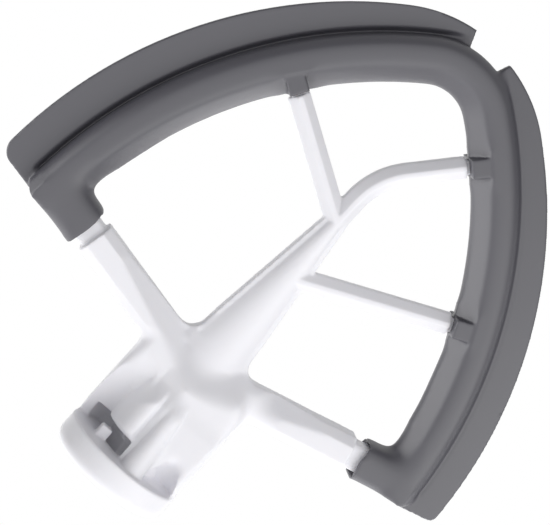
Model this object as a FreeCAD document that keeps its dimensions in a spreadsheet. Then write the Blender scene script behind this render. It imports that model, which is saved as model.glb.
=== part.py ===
import FreeCAD, Part
import math
import os
from FreeCAD import Placement, Rotation, Vector

# A stand mixer's flat beater: a rigid frame with a soft edge moulded round its hoop.
# The shaft axis is Z with the socket's mouth at the origin, and the beater hangs below it.
# The front is towards -Y, and one wing of the soft edge reaches out to each side along X.

doc = FreeCAD.newDocument("flat_beater")
sheet = doc.addObject("Spreadsheet::Sheet", "Dims")

SIZES = {
    # Hub: a round cap on a barrel that is open at the front
    "cap_radius": 16.3,
    "cap_thickness": 7.5,
    "cap_round": 2.8,
    "barrel_radius": 16.1,
    "barrel_depth": 32.1,
    "root_rise": 11.0,
    "front_at_cap": 10.0,
    "front_at_arms": 8.3,
    "socket_root_radius": 4.0,
    # Shaft socket, with a keyway for the shaft's cross pin, a chamber that it turns in and a stop
    "shaft_radius": 6.35,
    "shaft_clearance": 0.15,
    "socket_depth": 25.0,
    "socket_wall": 2.8,
    "pin_diameter": 4.76,
    "pin_clearance": 0.24,
    "pin_reach": 13.4,
    "pin_entry_angle": 60.0,
    "pin_sweep_angle": 145.0,
    "stop_size": 3.0,
    "stop_offset": 8.3,
    "stop_back": 1.5,
    # Hub's front: a slope on one side of the socket, a pocket on the other and a rib between
    "slope_at_cap": 5.5,
    "slope_rise": 14.5,
    "slope_drop": 30.8,
    "pocket_radius": 5.2,
    "pocket_tip_radius": 0.4,
    "pocket_offset": 9.0,
    "pocket_depth": 1.0,
    "pocket_drop": 10.5,
    "rib_radius": 3.3,
    "rib_end_radius": 1.6,
    # Arms, with a neck at each end that runs into the soft edge
    "arm_level": 34.0,
    "arm_droop_angle": 12.8,
    "arm_width": 9.2,
    "arm_depth": 10.4,
    "arm_chamfer": 2.2,
    "arm_length": 42.2,
    "neck_gap": 3.0,
    "crotch_round": 3.5,
    "armpit_round": 2.5,
    # Spine: a web with a swelling on each face
    "spine_level": 39.1,
    "spine_end": 87.1,
    "spine_width": 17.1,
    "spine_end_width": 4.8,
    "spine_web": 3.6,
    "spine_flange": 1.2,
    "spine_swell": 4.6,
    "spine_end_swell": 3.1,
    # Spokes
    "spoke_width": 5.4,
    "spoke_depth": 6.4,
    "spoke_chamfer": 2.1,
    "spoke_gap": 0.7,
    "spoke_neck": 3.4,
    "single_spoke_level": 84.2,
    "single_spoke_angle": 31.3,
    "upper_spoke_level": 66.4,
    "upper_spoke_angle": 24.4,
    "bent_spoke_level": 90.7,
    "bent_spoke_radius": 19.5,
    "bent_spoke_angle": 42.0,
    # Hoop of the frame, inside the soft edge
    "hoop_centre_x": 57.0,
    "hoop_centre_z": 36.4,
    "hoop_radius": 112.9,
    "hoop_tip_radius": 16.0,
    "hoop_width": 7.0,
    "hoop_depth": 7.0,
    "hoop_round": 1.5,
    # Soft edge: a bar round the hoop, a sleeve on each neck and a collar on each spoke
    "bar_width": 11.8,
    "bar_depth": 11.6,
    "bar_inner_chamfer": 4.8,
    "bar_outer_chamfer": 2.3,
    "shoulder_round": 4.0,
    "single_sleeve_height": 11.4,
    "double_sleeve_height": 10.4,
    "sleeve_depth": 11.2,
    "sleeve_round": 3.0,
    "mouth_depth": 1.6,
    "mouth_gap": 0.9,
    "collar_width": 4.8,
    "collar_depth": 10.9,
    "collar_proud": 0.2,
    # Wings: thin blades on the outside of the bar, one behind its middle and one before it
    "wing_lean_angle": 4.0,
    "wing_root_thickness": 2.6,
    "wing_edge_thickness": 1.5,
    "wing_root_offset": 2.0,
    "wing_reach": 16.5,
    "rim_tip_radius": 38.0,
    "rim_tip_gap": 5.6,
    "rim_tip_angle": 22.0,
    "leading_centre_x": 44.0,
    "leading_centre_z": 39.4,
    "leading_radius": 115.2,
    "leading_corner_round": 4.0,
    "trailing_centre_x": 46.4,
    "trailing_centre_z": 39.2,
    "trailing_radius": 116.0,
    "trailing_corner_round": 2.0,
    "trailing_rise": 0.6,
}
for row, (alias, number) in enumerate(SIZES.items(), start=1):
    sheet.set(f"A{row}", alias)
    sheet.set(f"B{row}", str(number))
    sheet.setAlias(f"B{row}", alias)
doc.recompute()

UP = Vector(0, 0, 1)
DEPTH = Vector(0, 1, 0)
BURIED = 1.0
FAR = 60.0
HALF_TURN = 180


def size(alias):
    """Value of a driving dimension."""
    return float(sheet.get(alias))


def flat(x, z):
    """Point in the beater's middle plane."""
    return Vector(x, 0, z)


def heading(angle, side=1):
    """Direction in the middle plane, at an angle below the horizontal."""
    turn = math.radians(angle)
    return flat(side * math.cos(turn), -math.sin(turn))


def bound(kind, label, **cells):
    """Primitive or feature whose properties follow cells of the sheet."""
    thing = doc.addObject(kind, label)
    thing.Label = label
    for prop, cell in cells.items():
        thing.setExpression(prop, f"Dims.{cell}" if cell in SIZES else cell)
    return thing


def shaped(label, shape, placement=Placement()):
    """Plain profile, used as the source of an extrusion, a revolution or a loft."""
    thing = doc.addObject("Part::Feature", label)
    thing.Label = label
    thing.Shape = shape
    thing.Placement = placement
    return thing


def fuse(label, things):
    """Join pieces one after another."""
    whole = things[0]
    for number, piece in enumerate(things[1:], start=1):
        joined = bound("Part::Fuse", label if piece is things[-1] else f"{label}_{number}")
        joined.Base = whole
        joined.Tool = piece
        joined.Refine = True
        whole = joined
    return whole


def cut(label, base, tool):
    rest = bound("Part::Cut", label)
    rest.Base = base
    rest.Tool = tool
    rest.Refine = True
    return rest


def carve(label, base, tools):
    """Take pieces away one after another."""
    rest = base
    for number, tool in enumerate(tools, start=1):
        rest = cut(label if tool is tools[-1] else f"{label}_{number}", rest, tool)
    return rest


def common(label, base, tool):
    shared = bound("Part::Common", label)
    shared.Base = base
    shared.Tool = tool
    shared.Refine = True
    return shared


def ease(kind, label, base, amount, chosen):
    """Fillet or chamfer on the edges that pass the test."""
    doc.recompute()
    eased = bound(kind, label)
    eased.Base = base
    numbers = [n for n, edge in enumerate(base.Shape.Edges, start=1) if chosen(edge)]
    eased.Edges = [(n, amount, amount) for n in numbers]
    return eased


def runs_along(direction):
    def test(edge):
        return edge.Curve.TypeId == "Part::GeomLine" and abs(edge.tangentAt(0).dot(direction)) > 0.999
    return test


def beam(label, start, direction, length, width_cell, depth_cell):
    """Box along a direction in the middle plane, centred on its line."""
    box = bound("Part::Box", label, Width=depth_cell, Height=width_cell)
    box.Length = length
    doc.recompute([box])
    turn = Rotation(direction, DEPTH, direction.cross(DEPTH), "XYZ")
    corner = Vector(0, -box.Width.Value / 2, -box.Height.Value / 2)
    box.Placement = Placement(start + turn.multVec(corner), turn)
    return box


def extrude(label, face, direction, forward, back):
    run = bound("Part::Extrusion", label)
    run.Base = face
    run.DirMode = "Custom"
    run.Dir = direction
    run.LengthFwd = forward
    run.LengthRev = back
    run.Solid = True
    return run


def spin(label, face, centre, start_angle, end_angle):
    """Turn a profile about a line through the centre, along the depth of the beater."""
    face.Placement = Placement(Vector(), Rotation(DEPTH, start_angle), centre)
    turned = bound("Part::Revolution", label)
    turned.Source = face
    turned.Axis = DEPTH
    turned.Base = centre
    turned.Angle = end_angle - start_angle
    turned.Solid = True
    return turned


def spindle(kind, label, start, end, **cells):
    """Cylinder or cone from one point to another."""
    thing = bound(kind, label, **cells)
    thing.Height = start.distanceToPoint(end)
    thing.Placement = Placement(start, Rotation(UP, end - start))
    return thing


def closed_face(edges):
    return Part.Face(Part.Wire(edges))


def polygon_face(points):
    return Part.Face(Part.makePolygon(points + points[:1]))


def quarter_round(centre, across, down):
    """Bulging arc from one end of a corner to the other."""
    middle = centre + (across + down) * math.sqrt(0.5)
    return Part.Arc(centre + across, middle, centre + down).toShape()


def eased_section(centre, width, depth, outer, inner, rounded=False):
    """Rectangle of width by depth with its outer and inner corners cut off or rounded."""
    across, along = width / 2, depth / 2
    quarters = [(1, -1), (1, 1), (-1, 1), (-1, -1)]
    edges = []
    ends = []
    for sx, sy in quarters:
        corner = outer if sx > 0 else inner
        cut_back = corner * (1 - math.sqrt(0.5))
        beside = centre + Vector(sx * across, sy * (along - corner), 0)
        above = centre + Vector(sx * (across - corner), sy * along, 0)
        middle = centre + Vector(sx * (across - cut_back), sy * (along - cut_back), 0)
        first, last = (above, beside) if sx * sy < 0 else (beside, above)
        turn = Part.Arc(first, middle, last) if rounded else Part.LineSegment(first, last)
        edges.append(turn.toShape())
        ends.append((first, last))
    sides = [Part.makeLine(ends[k][1], ends[(k + 1) % 4][0]) for k in range(4)]
    return closed_face([edge for pair in zip(edges, sides) for edge in pair])


def reach_to(start, direction, centre, radius):
    """Distance along a line to the far side of a circle."""
    offset = start - centre
    along = offset.dot(direction)
    return -along + math.sqrt(along ** 2 - offset.Length ** 2 + radius ** 2)


def tip_level(centre, radius, tip_radius):
    """Height of the centre of a tip arc on the shaft axis that runs on smoothly from a side arc."""
    return centre.z - math.sqrt((radius - tip_radius) ** 2 - centre.x ** 2)


# Lines that the frame and the soft edge share
hoop_centre = flat(-size("hoop_centre_x"), -size("hoop_centre_z"))
hoop_radius = size("hoop_radius")
hoop_tip = flat(0, tip_level(hoop_centre, hoop_radius, size("hoop_tip_radius")))
hoop_join = math.degrees(math.atan2(hoop_centre.z - hoop_tip.z, -hoop_centre.x))
droop = size("arm_droop_angle")
arm_start = flat(0, -size("arm_level"))
arm_end = size("arm_length")
arm_to_hoop = reach_to(arm_start, heading(droop), hoop_centre, hoop_radius)
hoop_rise = (arm_start + heading(droop) * arm_to_hoop).z - hoop_centre.z
hoop_top = -math.degrees(math.asin(hoop_rise / hoop_radius))
mouth = arm_end + size("neck_gap")
inner_radius = hoop_radius - size("bar_width") / 2
above_top = hoop_top - math.degrees(size("single_sleeve_height") / hoop_radius)


def mirrored(centre):
    return flat(-centre.x, centre.z)


def edge_top(name):
    """Where the line along the top of a sleeve meets the shaft axis."""
    return arm_start + UP * (size(f"{name}_sleeve_height") / 2 / math.cos(math.radians(droop)))


def hub():
    """Cap and barrel, hollowed at the front, with the shaft's socket in the middle."""
    under_cap = -size("cap_thickness")
    cap = bound("Part::Cylinder", "cap_disc", Radius="cap_radius", Height="cap_thickness")
    cap.Placement.Base = UP * under_cap
    cap = ease("Part::Fillet", "cap", cap, size("cap_round"),
               lambda edge: edge.Closed and edge.CenterOfMass.z > under_cap / 2)

    barrel_foot = flat(0, -size("barrel_depth"))
    root_foot = barrel_foot - UP * size("root_rise")
    in_cap = UP * (under_cap + BURIED)
    barrel = spindle("Part::Cylinder", "barrel", barrel_foot, in_cap, Radius="barrel_radius")
    brim = Vector(size("barrel_radius"), 0, 0)
    outline = [
        quarter_round(barrel_foot, brim, root_foot - barrel_foot),
        Part.makeLine(root_foot, barrel_foot),
        Part.makeLine(barrel_foot, barrel_foot + brim),
    ]
    root = bound("Part::Revolution", "root")
    root.Source = shaped("root_outline", closed_face(outline))
    root.Axis = UP
    root.Solid = True

    corners = [
        Vector(0, -size("front_at_arms"), barrel_foot.z),
        Vector(0, -size("front_at_cap"), under_cap),
        Vector(0, -FAR, under_cap),
        Vector(0, -FAR, root_foot.z),
        root_foot,
    ]
    front_line = [Part.makeLine(first, last) for first, last in zip(corners, corners[1:])]
    front_line.append(quarter_round(barrel_foot, corners[0] - barrel_foot, root_foot - barrel_foot))
    front_face = shaped("front_line", closed_face(front_line))
    front = extrude("front_recess", front_face, Vector(1, 0, 0), FAR, FAR)

    face = -size("front_at_cap")
    slope_line = [
        Vector(0, -FAR, under_cap),
        Vector(0, size("slope_at_cap"), under_cap),
        Vector(0, size("slope_at_cap") - size("slope_rise"), under_cap - size("slope_drop")),
        Vector(0, -FAR, under_cap - size("slope_drop")),
    ]
    slope = extrude("side_slope", shaped("slope_line", polygon_face(slope_line)), Vector(1, 0, 0), FAR, 0)
    pocket_x = -size("pocket_offset")
    pocket = spindle("Part::Cone", "pocket", Vector(pocket_x, face + size("pocket_depth"), under_cap),
                     Vector(pocket_x, face - size("pocket_tip_radius"), under_cap - size("pocket_drop")),
                     Radius1="pocket_radius", Radius2="pocket_tip_radius")
    shell = carve("barrel_shell", fuse("barrel_blank", [barrel, root]), [front, slope, pocket])

    tube_radius = "Dims.shaft_radius + Dims.shaft_clearance + Dims.socket_wall"
    tube = spindle("Part::Cylinder", "socket_tube", barrel_foot, in_cap, Radius=tube_radius)
    tube_root = spindle("Part::Cone", "socket_root", barrel_foot, root_foot,
                        Radius1=tube_radius, Radius2="socket_root_radius")
    rib_end = size("rib_end_radius")
    rib_foot = Vector(-rib_end / 2, -size("front_at_arms") + rib_end / 2, barrel_foot.z)
    rib_head = Vector(-size("rib_radius") / 2, face - BURIED / 2, under_cap + BURIED)
    rib = spindle("Part::Cone", "rib", rib_foot, rib_head, Radius1="rib_end_radius", Radius2="rib_radius")

    pin_room = size("pin_diameter") + size("pin_clearance")
    past_pin = math.degrees(math.asin(pin_room / 2 / size("pin_reach")))
    chamber = bound("Part::Cylinder", "pin_chamber", Radius="pin_reach", Angle="pin_sweep_angle",
                    Height="Dims.pin_diameter + Dims.pin_clearance")
    chamber.Placement = Placement(UP * (under_cap - pin_room),
                                  Rotation(UP, size("pin_entry_angle") + past_pin - size("pin_sweep_angle")))
    blank = fuse("hub_blank", [shell, tube, tube_root, rib])
    solid = fuse("hub_solid", [cap, cut("hub_body", blank, chamber)])

    bore_foot = flat(0, -size("socket_depth"))
    bore = spindle("Part::Cylinder", "shaft_bore", bore_foot, UP * BURIED,
                   Radius="Dims.shaft_radius + Dims.shaft_clearance")
    keyway = bound("Part::Box", "pin_keyway", Length="pin_reach",
                   Width="Dims.pin_diameter + Dims.pin_clearance",
                   Height=f"Dims.cap_thickness + {2 * BURIED}")
    turn = Rotation(UP, size("pin_entry_angle"))
    beside = turn.multVec(Vector(0, -pin_room / 2, 0))
    keyway.Placement = Placement(beside + UP * (under_cap - BURIED), turn)
    cube = size("stop_size")
    stop = bound("Part::Box", "stop", Length="stop_size", Width="stop_size",
                 Height=f"Dims.stop_size + {BURIED}")
    stop.Placement.Base = Vector(size("stop_offset") - cube / 2, -size("stop_back") - cube, under_cap - cube)
    return fuse("hub", [carve("hub_bored", solid, [bore, keyway]), stop])


def corner_web(label, corner, along, down):
    """Rounded web that fills the inside corner of two edges in the middle plane."""
    radius = size(label)
    half = along.getAngle(down) / 2
    inwards = (along + down).normalize()
    reach = radius / math.tan(half)
    centre = corner + inwards * (radius / math.sin(half))
    first, last = corner + along * reach, corner + down * reach
    buried = corner - inwards * BURIED
    edges = [
        Part.makeLine(buried, first),
        Part.Arc(first, centre - inwards * radius, last).toShape(),
        Part.makeLine(last, buried),
    ]
    return closed_face(edges)


def arms():
    """Two drooping arms with chamfered edges, their necks and the webs in their corners."""
    pieces = []
    web_depth = size("arm_depth") / 2 - size("arm_chamfer")
    half_rise = size("arm_width") / 2 / math.cos(math.radians(droop))
    taper = (size("spine_width") - size("spine_end_width")) / 2 / (size("spine_end") - size("spine_level"))
    for side, name in ((1, "single"), (-1, "double")):
        along = heading(droop, side)
        bar = beam(f"{name}_arm_blank", arm_start, along, arm_end, "arm_width", "arm_depth")
        pieces.append(ease("Part::Chamfer", f"{name}_arm", bar, size("arm_chamfer"), runs_along(along)))
        neck_length = arm_to_hoop + size("hoop_width") / 2 - arm_end + BURIED
        neck = beam(f"{name}_neck_blank", arm_start + along * (arm_end - BURIED), along, neck_length,
                    "hoop_width", "hoop_depth")
        pieces.append(ease("Part::Fillet", f"{name}_neck", neck, size("hoop_round"), runs_along(along)))

        slope = math.tan(math.radians(droop))
        spine_half = size("spine_width") / 2
        low = arm_start.z - half_rise
        crotch_x = (spine_half + taper * (low + size("spine_level"))) / (1 + taper * slope)
        crotch = flat(side * crotch_x, low - slope * crotch_x)
        armpit = flat(side * size("barrel_radius"), arm_start.z + half_rise - slope * size("barrel_radius"))
        webs = {
            "crotch_round": (crotch, flat(-side * taper, -1).normalize()),
            "armpit_round": (armpit, UP),
        }
        for label, (corner, down) in webs.items():
            face = shaped(f"{name}_{label}_outline", corner_web(label, corner, along, down))
            pieces.append(extrude(f"{name}_{label}_web", face, DEPTH, web_depth, web_depth))
    return pieces


def spine_section(level, width, swell):
    """Web with a flange at each edge and a shallow arc on each face."""
    half, web = width / 2, size("spine_web") / 2
    neck = half - size("spine_flange")

    def at(x, y):
        return Vector(x, y, -level)

    edges = []
    for s in (1, -1):
        edges += [
            Part.makeLine(at(s * half, s * web), at(s * half, -s * web)),
            Part.makeLine(at(s * half, -s * web), at(s * neck, -s * web)),
            Part.Arc(at(s * neck, -s * web), at(0, -s * swell), at(-s * neck, -s * web)).toShape(),
            Part.makeLine(at(-s * neck, -s * web), at(-s * half, -s * web)),
        ]
    return Part.Wire(edges)


def spine():
    """Tapered spine from the hub down to the spokes."""
    top = spine_section(size("spine_level"), size("spine_width"), size("spine_swell"))
    foot = spine_section(size("spine_end"), size("spine_end_width"), size("spine_end_swell"))
    loft = bound("Part::Loft", "spine")
    loft.Sections = [shaped("spine_top", top), shaped("spine_foot", foot)]
    loft.Solid = True
    loft.Ruled = True
    return loft


def spoke_lines():
    """Start, direction and side of each spoke's straight run into the hoop."""
    turn = size("bent_spoke_angle")
    radius = size("bent_spoke_radius")
    bend = math.radians(turn)
    bend_end = flat(-radius * (1 - math.cos(bend)), -size("bent_spoke_level") - radius * math.sin(bend))
    return {
        "single": (flat(0, -size("single_spoke_level")), heading(size("single_spoke_angle")), 1),
        "upper": (flat(0, -size("upper_spoke_level")), heading(size("upper_spoke_angle"), -1), -1),
        "bent": (bend_end, heading(90 - turn, -1), -1),
    }


def hoop_centre_on(side):
    return hoop_centre if side > 0 else mirrored(hoop_centre)


def spokes():
    """Three spokes, each with a neck that runs into the hoop."""
    runs = {}
    for name, (start, along, side) in spoke_lines().items():
        to_bar = reach_to(start, along, hoop_centre_on(side), inner_radius)
        to_hoop = reach_to(start, along, hoop_centre_on(side), hoop_radius)
        end = to_bar - size("collar_proud") - size("spoke_gap")
        bar = beam(f"{name}_spoke_blank", start, along, end, "spoke_width", "spoke_depth")
        bar = ease("Part::Chamfer", f"{name}_spoke_bar", bar, size("spoke_chamfer"), runs_along(along))
        neck = beam(f"{name}_spoke_neck", start + along * (end - BURIED), along, to_hoop - end + BURIED,
                    "spoke_neck", "spoke_neck")
        runs[name] = [bar, neck]
    start = flat(0, -size("bent_spoke_level"))
    centre = start - flat(size("bent_spoke_radius"), 0)
    chamfer = size("spoke_chamfer")
    section = eased_section(start, size("spoke_width"), size("spoke_depth"), chamfer, chamfer)
    profile = shaped("bent_spoke_section", section)
    bend = spin("bent_spoke_bend", profile, centre, 0, size("bent_spoke_angle"))
    stem = beam("bent_spoke_stem_blank", flat(0, -size("single_spoke_level")), -UP,
                size("bent_spoke_level") - size("single_spoke_level"), "spoke_width", "spoke_depth")
    stem = ease("Part::Chamfer", "bent_spoke_stem", stem, chamfer, runs_along(UP))
    runs["bent"] += [bend, stem]
    return [fuse(f"{name}_spoke", pieces) for name, pieces in runs.items()]


def along_hoop(label, section_at, start_angle):
    """Half of a bar that follows the hoop from its top to the beater's tip, on the +X side."""
    runs = []
    for part, centre, radius, angles in (
            ("side", hoop_centre, hoop_radius, (start_angle, hoop_join)),
            ("tip", hoop_tip, size("hoop_tip_radius"), (hoop_join, HALF_TURN / 2))):
        profile = shaped(f"{label}_{part}_section", section_at(centre, radius))
        runs.append(spin(f"{label}_{part}", profile, centre, *angles))
    return fuse(label, runs)


def half_turn(label, thing):
    """The same shape on the other side of the shaft axis."""
    doc.recompute()
    turn = Placement(Vector(), Rotation(UP, HALF_TURN))
    return shaped(label, thing.Shape.copy(), turn.multiply(thing.Placement))


def hoop():
    """Hoop of the frame, hidden in the soft edge."""
    def section(centre, radius):
        middle = centre + Vector(radius, 0, 0)
        corner = size("hoop_round")
        return eased_section(middle, size("hoop_width"), size("hoop_depth"), corner, corner, rounded=True)
    half = along_hoop("hoop_half", section, hoop_top)
    return fuse("hoop", [half, half_turn("hoop_other_half", half)])


def edge_field(label, top_start, centre, radius, tip_radius, end_x, end_lean, corner_round):
    """Block of the soft edge's outline: side arc, tip arc, end line and drooping top line."""
    along = heading(droop)
    tip = flat(0, tip_level(centre, radius, tip_radius))
    end = tip + flat(end_x, -math.sqrt(tip_radius ** 2 - end_x ** 2))
    outwards = (tip - centre).normalize()
    join = centre + outwards * radius
    top = top_start + along * reach_to(top_start, along, centre, radius)
    tip_middle = tip + ((end - tip).normalize() + outwards).normalize() * tip_radius
    side_middle = centre + ((top - centre).normalize() + outwards).normalize() * radius
    inner_end = flat(0, end.z + end_x / math.tan(math.radians(end_lean)))
    edges = [
        Part.Arc(end, tip_middle, join).toShape(),
        Part.Arc(join, side_middle, top).toShape(),
        Part.makeLine(top, top_start),
        Part.makeLine(top_start, inner_end),
    ]
    if end_x > 0:
        edges.append(Part.makeLine(inner_end, end))
    block = extrude(f"{label}_block", shaped(f"{label}_outline", closed_face(edges)), DEPTH, FAR, FAR)
    return ease("Part::Fillet", label, block, corner_round,
                lambda edge: runs_along(DEPTH)(edge) and (edge.CenterOfMass - top).Length < BURIED)


def soft_bar(name):
    """Half of the eight-sided bar round the hoop, on the +X side, cut level with a sleeve at its top."""
    def section(centre, radius):
        middle = centre + Vector(radius, 0, 0)
        return eased_section(middle, size("bar_width"), size("bar_depth"),
                             size("bar_outer_chamfer"), size("bar_inner_chamfer"))
    clear = size("bar_width") / 2 + BURIED / 2
    field = edge_field(f"{name}_bar_field", edge_top(name), hoop_centre, hoop_radius + clear,
                       size("hoop_tip_radius") + clear, 0, size("rim_tip_angle"), size("shoulder_round"))
    return common(f"{name}_bar", along_hoop(f"{name}_bar_run", section, above_top), field)


def wing(name, top_start):
    """Thin blade on the +X side, which leaves the bar behind its middle."""
    lean = math.radians(size("wing_lean_angle"))
    root = size("wing_root_thickness") / 2
    edge = size("wing_edge_thickness") / 2

    def section(centre, radius):
        foot = centre + Vector(radius + size("bar_width") / 4, size("wing_root_offset"), 0)
        out = Vector(math.cos(lean), -math.sin(lean), 0)
        side = Vector(math.sin(lean), math.cos(lean), 0)
        end = foot + out * size("wing_reach")
        return polygon_face([foot - side * root, end - side * edge, end + side * edge, foot + side * root])

    centre = flat(-size(f"{name}_centre_x"), -size(f"{name}_centre_z"))
    field = edge_field(f"{name}_field", top_start, centre, size(f"{name}_radius"), size("rim_tip_radius"),
                       size("rim_tip_gap"), size("rim_tip_angle"), size(f"{name}_corner_round"))
    return common(f"{name}_wing", along_hoop(f"{name}_wing_run", section, above_top), field)


def soft_edge(frame):
    """One soft moulding: bar, sleeves, collars and wings, with the frame's hoop inside."""
    trailing_top = edge_top("double") + UP * size("trailing_rise")
    pieces = [
        soft_bar("single"),
        half_turn("double_bar_turned", soft_bar("double")),
        wing("leading", edge_top("single")),
        half_turn("trailing_wing_turned", wing("trailing", trailing_top)),
    ]
    mouths = []
    for side, name in ((1, "single"), (-1, "double")):
        along = heading(droop, side)
        sleeve = beam(f"{name}_sleeve_blank", arm_start + along * mouth, along, arm_to_hoop - mouth,
                      f"{name}_sleeve_height", "sleeve_depth")
        rounded = ease("Part::Fillet", f"{name}_sleeve", sleeve, size("sleeve_round"), runs_along(along))
        pieces.append(rounded)
        gap = "2 * Dims.mouth_gap"
        mouths.append(beam(f"{name}_mouth", arm_start + along * mouth, along, size("mouth_depth"),
                           f"Dims.hoop_width + {gap}", f"Dims.hoop_depth + {gap}"))
    for name, (start, along, side) in spoke_lines().items():
        to_bar = reach_to(start, along, hoop_centre_on(side), inner_radius)
        pieces.append(beam(f"{name}_collar", start + along * (to_bar - size("collar_proud")), along,
                           size("bar_width") / 2, "collar_width", "collar_depth"))
    hollowed = carve("soft_blank", fuse("soft_solid", pieces), mouths)
    return cut("flex_edge", hollowed, frame)


spider = fuse("spider", [hub(), spine()] + arms())
core_frame = fuse("core_frame", [spider] + spokes() + [hoop()])
flex_edge = soft_edge(core_frame)
doc.recompute()

for thing in doc.Objects:
    if "Invalid" in thing.State or "Error" in thing.State:
        raise RuntimeError(f"{thing.Label} failed: {thing.State}")
os.makedirs("parts", exist_ok=True)
for node in (core_frame, flex_edge):
    if node.Shape.isNull() or not node.Shape.isValid() or len(node.Shape.Solids) != 1:
        raise RuntimeError(f"{node.Label} is not one valid solid")
for node in (core_frame, flex_edge):
    node.Shape.exportStep(f"parts/{node.Label}.step")
    print(node.Label, round(node.Shape.Volume, 1), node.Shape.BoundBox)
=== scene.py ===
import bmesh
import bpy
import numpy as np
from mathutils import Matrix, Vector
from mathutils.kdtree import KDTree


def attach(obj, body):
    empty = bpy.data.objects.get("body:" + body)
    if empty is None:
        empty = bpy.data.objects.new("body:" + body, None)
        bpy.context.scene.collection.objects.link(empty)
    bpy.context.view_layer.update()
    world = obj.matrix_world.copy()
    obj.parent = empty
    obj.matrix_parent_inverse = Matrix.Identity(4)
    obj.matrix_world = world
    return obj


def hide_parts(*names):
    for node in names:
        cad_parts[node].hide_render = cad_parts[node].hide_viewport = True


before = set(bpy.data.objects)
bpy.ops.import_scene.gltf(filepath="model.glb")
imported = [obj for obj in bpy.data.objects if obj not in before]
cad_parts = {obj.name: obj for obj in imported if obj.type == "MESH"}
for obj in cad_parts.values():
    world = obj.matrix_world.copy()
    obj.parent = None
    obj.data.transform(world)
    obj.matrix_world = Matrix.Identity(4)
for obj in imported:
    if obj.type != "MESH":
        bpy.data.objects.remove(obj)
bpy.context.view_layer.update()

# White frame: cap, hub, arms, spine and spokes, and the hoop that carries the soft edge.
# One rigid moulding in white nylon. It leaves a polished steel mould, so its edges are eased
# and its inside corners are filled, most of all where the arms and the spine meet the hub.
WELD_REACH = 1e-6
SHARP_ANGLE = np.radians(25)
EDGE_STEP = 0.0001
EDGE_REACH = 0.75


def moulded_copy(node, name, voxel):
    """Closed, even mesh with the form and the sharp edges of a solid of the frame."""
    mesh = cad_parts[node].data.copy()
    mesh.materials.clear()
    piece = bpy.data.objects.new(name, mesh)
    bpy.context.scene.collection.objects.link(piece)
    weld = piece.modifiers.new("weld", "WELD")
    weld.merge_threshold = WELD_REACH
    remesh = piece.modifiers.new("remesh", "REMESH")
    remesh.mode = "VOXEL"
    remesh.voxel_size = voxel
    wrap = piece.modifiers.new("wrap", "SHRINKWRAP")
    wrap.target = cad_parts[node]
    settle(piece)
    draw_edges(piece, node, EDGE_REACH * voxel)
    return piece


def settle(piece):
    """Turn a piece with modifiers into a plain mesh."""
    evaluated = piece.evaluated_get(bpy.context.evaluated_depsgraph_get())
    mesh = bpy.data.meshes.new_from_object(evaluated)
    piece.modifiers.clear()
    piece.vertex_groups.clear()
    piece.data = mesh
    mesh.name = piece.name


def draw_edges(piece, node, reach):
    """Move the points close to a solid's sharp edges onto those edges."""
    form = bmesh.new()
    form.from_mesh(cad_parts[node].data)
    bmesh.ops.remove_doubles(form, verts=form.verts, dist=WELD_REACH)
    rows = []
    for edge in form.edges:
        if edge.is_manifold and edge.calc_face_angle() > SHARP_ANGLE:
            first, last = (np.array(end.co) for end in edge.verts)
            rows.extend(np.linspace(first, last, 2 + int(edge.calc_length() / EDGE_STEP)))
    form.free()
    tree = KDTree(len(rows))
    for index, point in enumerate(rows):
        tree.insert(point, index)
    tree.balance()
    points = points_of(piece)
    for index, point in enumerate(points):
        spot, _, away = tree.find(point)
        if away < reach:
            points[index] = spot
    move_points(piece, points)


def points_of(piece):
    """The points of a piece's mesh, one to a row."""
    points = np.empty(len(piece.data.vertices) * 3, np.float32)
    piece.data.vertices.foreach_get("co", points)
    return points.reshape(-1, 3)


def move_points(piece, points):
    """Put the points of a piece's mesh in new places."""
    piece.data.vertices.foreach_set("co", points.astype(np.float32).ravel())
    piece.data.update()


def relax(piece, strength, passes):
    """Ease a mesh: each point moves towards the middle of its neighbours by its own strength."""
    points = points_of(piece).astype(np.float64)
    ends = np.empty(len(piece.data.edges) * 2, np.int32)
    piece.data.edges.foreach_get("vertices", ends)
    first, last = ends.reshape(-1, 2).T
    count = len(points)
    degree = np.bincount(first, minlength=count) + np.bincount(last, minlength=count)
    for _ in range(passes):
        middle = np.stack([np.bincount(first, points[last, axis], count)
                           + np.bincount(last, points[first, axis], count) for axis in range(3)], 1)
        points += strength[:, None] * (middle / degree[:, None] - points)
    move_points(piece, points)


def thin_out(piece, triangles):
    """Bring a mesh down to a number of triangles, and shade it smooth."""
    decimate = piece.modifiers.new("decimate", "DECIMATE")
    faces = sum(len(face.vertices) - 2 for face in piece.data.polygons)
    decimate.ratio = min(1.0, triangles / faces)
    settle(piece)
    piece.data.shade_smooth()


def near(points, centre, reach, fade):
    """1 within reach of a point, falling to 0 over the fade."""
    away = np.linalg.norm((points - centre) / reach, axis=1)
    return np.clip((1 + fade - away) / fade, 0, 1)


def rise(values, start, end):
    """0 up to the start, rising evenly to 1 at the end."""
    return np.clip((values - start) / (end - start), 0, 1)


def dome(values, middle, half):
    """Parabola of height 1, and 0 beyond its half width."""
    return np.clip(1 - ((values - middle) / half) ** 2, 0, 1)


def bell(values, middle, half):
    """Bell curve of height 1."""
    return np.exp(-((values - middle) / half) ** 2)


class Socket:
    """A node's output that takes part in sums and products."""

    def __init__(self, tree, source):
        self.tree = tree
        self.source = source

    def maths(self, operation, *values):
        return self.tree.node("ShaderNodeMath", {"operation": operation}, dict(enumerate(values)))

    def __add__(self, other):
        return self.maths("ADD", self, other)

    __radd__ = __add__

    def __mul__(self, other):
        return self.maths("MULTIPLY", self, other)

    __rmul__ = __mul__

    def __rsub__(self, other):
        return self.maths("SUBTRACT", other, self)


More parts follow.
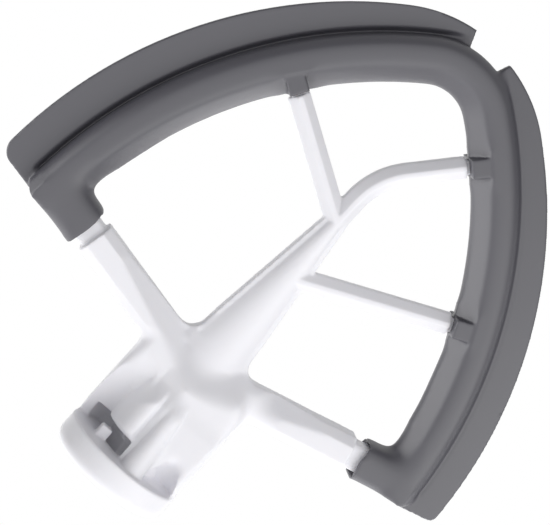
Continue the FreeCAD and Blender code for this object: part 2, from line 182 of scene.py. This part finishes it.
class Finish:
    """A material, or the room around the object, and its nodes."""

    def __init__(self, name, owner=None):
        self.material = owner or bpy.data.materials.new(name)
        self.material.use_nodes = True
        self.nodes = self.material.node_tree.nodes
        self.links = self.material.node_tree.links
        self.nodes.clear()
        self.place = self.node("ShaderNodeTexCoord", output="Object")

    def node(self, kind, settings={}, inputs={}, output=0):
        """Add a node, set it up, and give back one of its outputs."""
        node = self.nodes.new(kind)
        for key, value in settings.items():
            setattr(node, key, value)
        for key, value in inputs.items():
            if isinstance(value, Socket):
                self.links.new(value.source, node.inputs[key])
            else:
                node.inputs[key].default_value = value
        return Socket(self, node.outputs[output]) if len(node.outputs) else node

    def noise(self, size, detail, roughness=0.5):
        """Cloud pattern with features of about a size in metres."""
        return self.node("ShaderNodeTexNoise", {}, {
            "Vector": self.place, "Scale": 1 / size, "Detail": detail, "Roughness": roughness})

    def blend(self, mask, one, other):
        """Mix of two colours."""
        return self.node("ShaderNodeMix", {"data_type": "RGBA"}, {0: mask, 6: one, 7: other}, 2)

    def bump(self, height, distance):
        """Relief of a depth in metres."""
        return self.node("ShaderNodeBump", {}, {"Height": height, "Distance": distance, "Strength": 1.0})

    def surface(self, **inputs):
        """Finish the material with the inputs of its shader."""
        named = {key.replace("_", " "): value for key, value in inputs.items()}
        shader = self.node("ShaderNodeBsdfPrincipled", {}, named)
        self.node("ShaderNodeOutputMaterial", {}, {"Surface": shader})


white = Finish("white_nylon")
cloud = white.noise(size=0.018, detail=3.0)
grain = white.noise(size=0.0004, detail=2.0, roughness=0.6)
white.surface(
    Base_Color=white.blend(cloud, (0.80, 0.795, 0.832, 1), (0.835, 0.83, 0.864, 1)),
    Roughness=0.34 + 0.08 * cloud + 0.06 * grain,
    Normal=white.bump(grain, distance=0.00001),
    IOR=1.53,
    Specular_IOR_Level=0.4,
    Subsurface_Weight=0.4,
    Subsurface_Radius=(1, 0.95, 0.9),
    Subsurface_Scale=0.001,
)

VOXEL = 0.0004
TRIANGLES = 190000
ALL_OVER = 0.35
LOCAL = 0.5

TUBE_MIDDLE, TUBE_HALF, TUBE_SWELL = 0.0067, 0.0036, 0.0017
TUBE_FOOT = (-0.034, -0.025)
TUBE_TOP = (-0.0125, -0.0135)
TUBE_FRONT = -0.001
VALLEY_START, VALLEY_LEAN = (0.0023, -0.01), 0.05
VALLEY_HALF, VALLEY_DEPTH = 0.0005, 0.0007


def leaning(height, start, lean):
    """Place across, at each height, of a line that leans from its start."""
    return start[0] - lean * (height - start[1])


def swell_tube(piece):
    """Swell the socket's tube beside the rib, and sink the valley between the two."""
    points = points_of(piece)
    across, front, height = points.T
    share = rise(height, *TUBE_FOOT) * rise(height, *TUBE_TOP) * (front < TUBE_FRONT)
    swell = TUBE_SWELL * dome(across, TUBE_MIDDLE, TUBE_HALF)
    valley = VALLEY_DEPTH * bell(across, leaning(height, VALLEY_START, VALLEY_LEAN), VALLEY_HALF)
    points[:, 1] += share * (valley - swell)
    move_points(piece, points)


RIDGE_START = np.array((0.0061, -0.0331))
RIDGE_END = np.array((0.0398, -0.0465))
RIDGE_FALL = 0.9
CREST_ACROSS = (-0.017, -0.0145, 0.001, 0.007)
CREST_FRONT = (-0.0052, -0.0083, -0.0083, -0.0052)
FALL_FRONT = -0.0004
FALL_END = 0.046
FALL_FOOT = -0.052
SPINE_HALF = 0.0085
SPINE_FRONT, SPINE_ROUND, SPINE_ROUND_HALF = -0.0018, 0.0026, 0.0072
SHOULDER_ACROSS = (0.004, 0.010)
SHOULDER_STARTS = (-0.024, -0.019)
SHOULDER_ENDS = (-0.028, -0.029)


def past_ridge(points):
    """Distance of points past the ridge on an arm's front, counted towards the tip."""
    along = (RIDGE_END - RIDGE_START) / np.linalg.norm(RIDGE_END - RIDGE_START)
    across, height = np.abs(points[:, 0]) - RIDGE_START[0], points[:, 2] - RIDGE_START[1]
    return across * along[1] - height * along[0]


def slope_off(piece):
    """Let the arms and the hub's foot fall away towards the tip, from a ridge along each arm's front."""
    points = points_of(piece)
    across, front, height = points.T
    crest = np.interp(across, CREST_ACROSS, CREST_FRONT)
    spine = SPINE_FRONT - SPINE_ROUND * dome(across, 0, SPINE_ROUND_HALF)
    limit = np.minimum(crest + RIDGE_FALL * np.maximum(past_ridge(points), 0), FALL_FRONT)
    limit = np.where(np.abs(across) < SPINE_HALF, np.minimum(limit, spine), limit)
    share = rise(height, np.interp(across, SHOULDER_ACROSS, SHOULDER_STARTS),
                 np.interp(across, SHOULDER_ACROSS, SHOULDER_ENDS))
    share *= (np.abs(across) < FALL_END) * (height > FALL_FOOT)
    points[:, 1] += share * np.maximum(limit - front, 0)
    move_points(piece, points)


FACET = (0.002, 0.003)
FACET_END = 0.043
RIB_FOOT_START, RIB_FOOT_LEAN, RIB_FOOT_HALF = (0.0005, -0.0277), 0.294, 0.0012
RIB_FOOT_TOP = (-0.0115, -0.0125)
RIB_FOOT_LOW = -0.030
RIB_FOOT_FRONT = -0.006

white_frame = moulded_copy("core_frame", "white_frame", VOXEL)
swell_tube(white_frame)
slope_off(white_frame)
spots = points_of(white_frame)
across, front, height = spots.T
facet = rise(past_ridge(spots), *FACET) * (np.abs(across) > SPINE_HALF)
facet *= (np.abs(across) < FACET_END) * (height > FALL_FOOT)
rib_foot = bell(across, leaning(height, RIB_FOOT_START, RIB_FOOT_LEAN), RIB_FOOT_HALF)
rib_foot *= (front < RIB_FOOT_FRONT) * rise(height, *RIB_FOOT_TOP) * (height > RIB_FOOT_LOW)
pocket = near(spots, centre=(-0.0085, -0.0115, -0.0166), reach=(0.003, 0.005, 0.0025), fade=0.8)
junction = near(spots, centre=(0, 0, -0.041), reach=(0.014, 0.02, 0.006), fade=0.5)
shoulder = near(spots, centre=(0.0145, -0.004, -0.0305), reach=(0.0045, 0.007, 0.004), fade=0.6)
saddle = near(spots, centre=(0.001, -0.007, -0.0352), reach=(0.009, 0.005, 0.0032), fade=0.6)
flank = near(spots, centre=(-0.0165, -0.005, -0.0335), reach=(0.0045, 0.006, 0.006), fade=0.6)
relax(white_frame, np.full(len(spots), ALL_OVER), passes=5)
relax(white_frame, LOCAL * facet, passes=16)
relax(white_frame, LOCAL * np.maximum(rib_foot, pocket), passes=40)
relax(white_frame, LOCAL * junction, passes=16)
relax(white_frame, LOCAL * np.maximum.reduce((shoulder, saddle, flank)), passes=60)
thin_out(white_frame, TRIANGLES)
white_frame.data.materials.append(white.material)
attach(white_frame, "root")
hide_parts("core_frame")

# Grey edge: the bar round the frame's hoop, the sleeves, the collars and the two wings.
# One soft moulding in dark grey elastomer, shot over the white frame in a second mould.
# Its skin is satin, with a fine even grain.
grey = Finish("grey_elastomer")
shade = grey.noise(size=0.03, detail=3.0)
skin = grey.noise(size=0.0005, detail=3.0, roughness=0.6)
grey.surface(
    Base_Color=grey.blend(shade, (0.054, 0.0525, 0.064, 1), (0.064, 0.0625, 0.075, 1)),
    Roughness=0.4 + 0.08 * shade + 0.06 * skin,
    Normal=grey.bump(skin, distance=0.00001),
    IOR=1.5,
    Specular_IOR_Level=0.9,
)

ARC_CENTRE = (0.057, -0.0364)
ARC_RADIUS = 0.1129
BAR_FACE = (0.002, 0.0035)
BAR_INSIDE = (0.003, 0.002)
WING_ROOT = (0.0066, 0.0056)
COLLARS = ((0.0293, -0.1022), (-0.0163, -0.1166), (-0.0398, -0.0852))
BAR_ENDS = ((0.0605, -0.0437), (-0.0605, -0.0437))
SLEEVE_ENDS = ((0.0455, -0.044), (-0.0437, -0.045))
CRISP_PLACES = (
    (COLLARS, (0.005, 0.02, 0.005), 0.5),
    (BAR_ENDS, (0.003, 0.02, 0.003), 0.8),
    (SLEEVE_ENDS, (0.0015, 0.02, 0.02), 1.0),
)
CORNERS = ((0.0497, -0.0515), (-0.0485, -0.0512))
CORNER_REACH, CORNER_FADE = (0.0045, 0.02, 0.0045), 0.8
WING_MIDDLE = 0.0018
CREASE_OUT = 0.006
CREASE_FRONT = (-0.005, -0.002)
CREASE_HALVES = (0.00045, 0.0007)
CREASE_DEPTHS = (0.0005, 0.0019)
CREASE_TOP, CREASE_TOP_FADE = -0.0455, 0.002
CREASE_TIP, CREASE_TIP_FADE = 0.006, 0.004
CREASE_EASED = 0.001


def out_from_arc(points):
    """Distance of points from the middle line of the bar, counted towards the wings."""
    return np.hypot(np.abs(points[:, 0]) + ARC_CENTRE[0], points[:, 2] - ARC_CENTRE[1]) - ARC_RADIUS


def sink_crease(piece):
    """Sink a narrow groove where the front of each wing leaves the bar."""
    points = points_of(piece)
    across, front, height = points.T
    behind = front - WING_MIDDLE * np.sign(across)
    depth = np.where(across > 0, CREASE_DEPTHS[1], CREASE_DEPTHS[0])
    depth *= (behind < 0) * rise(behind, *CREASE_FRONT)
    depth *= rise(height, CREASE_TOP, CREASE_TOP - CREASE_TOP_FADE)
    depth *= rise(np.abs(across), CREASE_TIP, CREASE_TIP + CREASE_TIP_FADE)
    half = np.where(across > 0, CREASE_HALVES[1], CREASE_HALVES[0])
    points[:, 1] += depth * bell(out_from_arc(points), CREASE_OUT, half)
    move_points(piece, points)


grey_edge = moulded_copy("flex_edge", "grey_edge", VOXEL)
spots = points_of(grey_edge)
across, front, height = spots.T
outward = out_from_arc(spots)
rounding = np.maximum(rise(np.abs(front), *BAR_FACE), rise(outward, *BAR_INSIDE))
rounding *= rise(outward, *WING_ROOT)
for places, reach, fade in CRISP_PLACES:
    for place in places:
        rounding *= 1 - near(spots, (place[0], 0, place[1]), reach, fade)
inside = sum(near(spots, (place[0], 0, place[1]), CORNER_REACH, CORNER_FADE) for place in CORNERS)
crease = bell(outward, CREASE_OUT, CREASE_EASED) * (np.abs(across) > CREASE_TIP) * (height < CREASE_TOP)
relax(grey_edge, np.full(len(spots), ALL_OVER), passes=4)
relax(grey_edge, LOCAL * rounding, passes=40)
relax(grey_edge, LOCAL * inside, passes=80)
sink_crease(grey_edge)
relax(grey_edge, LOCAL * crease, passes=6)
thin_out(grey_edge, TRIANGLES)
grey_edge.data.materials.append(grey.material)
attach(grey_edge, "root")
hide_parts("flex_edge")

# Floor: a plain pale disc, well below the beater, which hangs as it does on a mixer's shaft.
# It throws no light back up, so that the tent alone lights the beater's underside.
FLOOR_LEVEL = -0.26
FLOOR_RADIUS = 0.85
FLOOR_SIDES = 96
floor_mesh = bpy.data.meshes.new("floor")
turns = np.linspace(0, 2 * np.pi, FLOOR_SIDES, endpoint=False)
floor_mesh.from_pydata(
    [(FLOOR_RADIUS * np.cos(turn), FLOOR_RADIUS * np.sin(turn), FLOOR_LEVEL) for turn in turns],
    [], [range(FLOOR_SIDES)])
floor = bpy.data.objects.new("floor", floor_mesh)
bpy.context.scene.collection.objects.link(floor)
pale = Finish("pale_floor")
pale.surface(Base_Color=(0.8, 0.8, 0.8, 1), Roughness=0.9)
floor_mesh.materials.append(pale.material)
floor.visible_diffuse = False
floor.visible_glossy = False

# Light: a white backdrop, and a light tent round the beater, with a soft front wall, a bright roof
# over the hub and a low wall behind. A key and a fill stand at the two sides. Four strips reach only
# the grey edge and bring out its flanks.
DIM = 0.12
FRONT_GLOW = 1.15
ROOF_GLOW = 1.5
BACK_GLOW = 0.7
world = bpy.data.worlds.new("studio")
room = Finish("studio", world)
towards = room.node("ShaderNodeTexCoord", output="Generated")


def wall(direction, start, end):
    """1 along a direction, fading to 0 where the cosine of the angle to it falls from end to start."""
    slant = room.node("ShaderNodeVectorMath", {"operation": "DOT_PRODUCT"}, {
        0: towards, 1: Vector(direction).normalized()}, "Value")
    return room.node("ShaderNodeMapRange", {"interpolation_type": "SMOOTHSTEP"}, {
        "Value": slant, "From Min": start, "From Max": end})


level = (DIM + FRONT_GLOW * wall((-0.36, -1, 0.02), start=0.2, end=1.0)
         + ROOF_GLOW * wall((-0.15, 0.5, 1), start=0.25, end=0.65)
         + BACK_GLOW * wall((0, 1, -1), start=0.4, end=0.9))
seen = room.node("ShaderNodeLightPath", output="Is Camera Ray")
glow = room.node("ShaderNodeBackground", {}, {
    "Color": (1, 1, 1, 1), "Strength": level + seen * (1 - level)})
room.node("ShaderNodeOutputWorld", {}, {"Surface": glow})
bpy.context.scene.world = world

BEATER_MIDDLE = Vector((0, 0, -0.07))
BOX = (0.4, 0.4)
STRIP = (0.2, 0.4)


def soft_box(name, place, size, watts):
    """Area light that faces the middle of the beater."""
    lamp = bpy.data.lights.new(name, "AREA")
    lamp.shape = "RECTANGLE"
    lamp.size, lamp.size_y = size
    lamp.energy = watts
    light = bpy.data.objects.new(name, lamp)
    light.location = place
    light.rotation_euler = (BEATER_MIDDLE - Vector(place)).to_track_quat("-Z", "Y").to_euler()
    light.visible_camera = False
    bpy.context.scene.collection.objects.link(light)
    return light


soft_box("key", (-0.42, -0.45, -0.02), BOX, watts=0.9)
soft_box("fill", (0.6, -0.25, 0.1), BOX, watts=0.7)
strip_lit = bpy.data.collections.new("lit_by_strips")
strip_lit.objects.link(grey_edge)
for strip in (
    soft_box("left_strip", (0.52, -0.17, 0.15), STRIP, watts=1.1),
    soft_box("right_strip", (-0.62, 0.12, 0.33), STRIP, watts=2.4),
    soft_box("upper_strip", (0.42, -0.16, 0.41), STRIP, watts=1.0),
    soft_box("back_strip", (-0.6, 0.2, -0.2), STRIP, watts=1.0),
):
    strip.light_linking.receiver_collection = strip_lit

# Card: a black sheet just inside the socket's mouth and keyway. It keeps the roof's light out of
# the pin's chamber, as a mixer's shaft would, and the camera does not see it.
CARD_RADIUS = 0.0052
CARD_REACH = 0.0132
CARD_HALF = 0.0023
CARD_LEVEL = -0.001
CARD_STEPS = 48
KEYWAY_TURN = Matrix.Rotation(np.radians(60), 3, "Z")
key_turn = np.arcsin(CARD_HALF / CARD_RADIUS)
key_end = [Vector((CARD_REACH, side * CARD_HALF, CARD_LEVEL)) for side in (1, -1)]
arc = [Vector((CARD_RADIUS * np.cos(turn), CARD_RADIUS * np.sin(turn), CARD_LEVEL))
       for turn in np.linspace(-key_turn, key_turn - 2 * np.pi, CARD_STEPS)]
rim = [KEYWAY_TURN @ point for point in key_end + arc]
card_mesh = bpy.data.meshes.new("card")
card_mesh.from_pydata(rim, [], [range(len(rim))])
card = bpy.data.objects.new("card", card_mesh)
bpy.context.scene.collection.objects.link(card)
black = Finish("black_card")
black.surface(Base_Color=(0.02, 0.02, 0.02, 1), Roughness=0.9)
card_mesh.materials.append(black.material)
card.visible_camera = False

# Camera: the photograph's angle, a little below the middle of the beater and turned so that
# the hub lies at the lower left of the picture and the tip of the arch at the upper right.
CAMERA_PLACE = (0.09531, -0.43637, -0.10634)
CAMERA_RIGHT = Vector((-0.73796, -0.09357, -0.66843))
CAMERA_UP = Vector((0.64359, 0.20099, -0.73867))
lens = bpy.data.cameras.new("camera")
lens.sensor_fit = "HORIZONTAL"
lens.sensor_width = 36.0
lens.lens = 121.4
lens.clip_start = 0.01
camera = bpy.data.objects.new("camera", lens)
turned = Matrix((CAMERA_RIGHT, CAMERA_UP, CAMERA_RIGHT.cross(CAMERA_UP))).transposed()
camera.matrix_world = Matrix.Translation(CAMERA_PLACE) @ turned.to_4x4()
bpy.context.scene.collection.objects.link(camera)
bpy.context.scene.camera = camera
bpy.context.scene.view_settings.view_transform = "Standard"
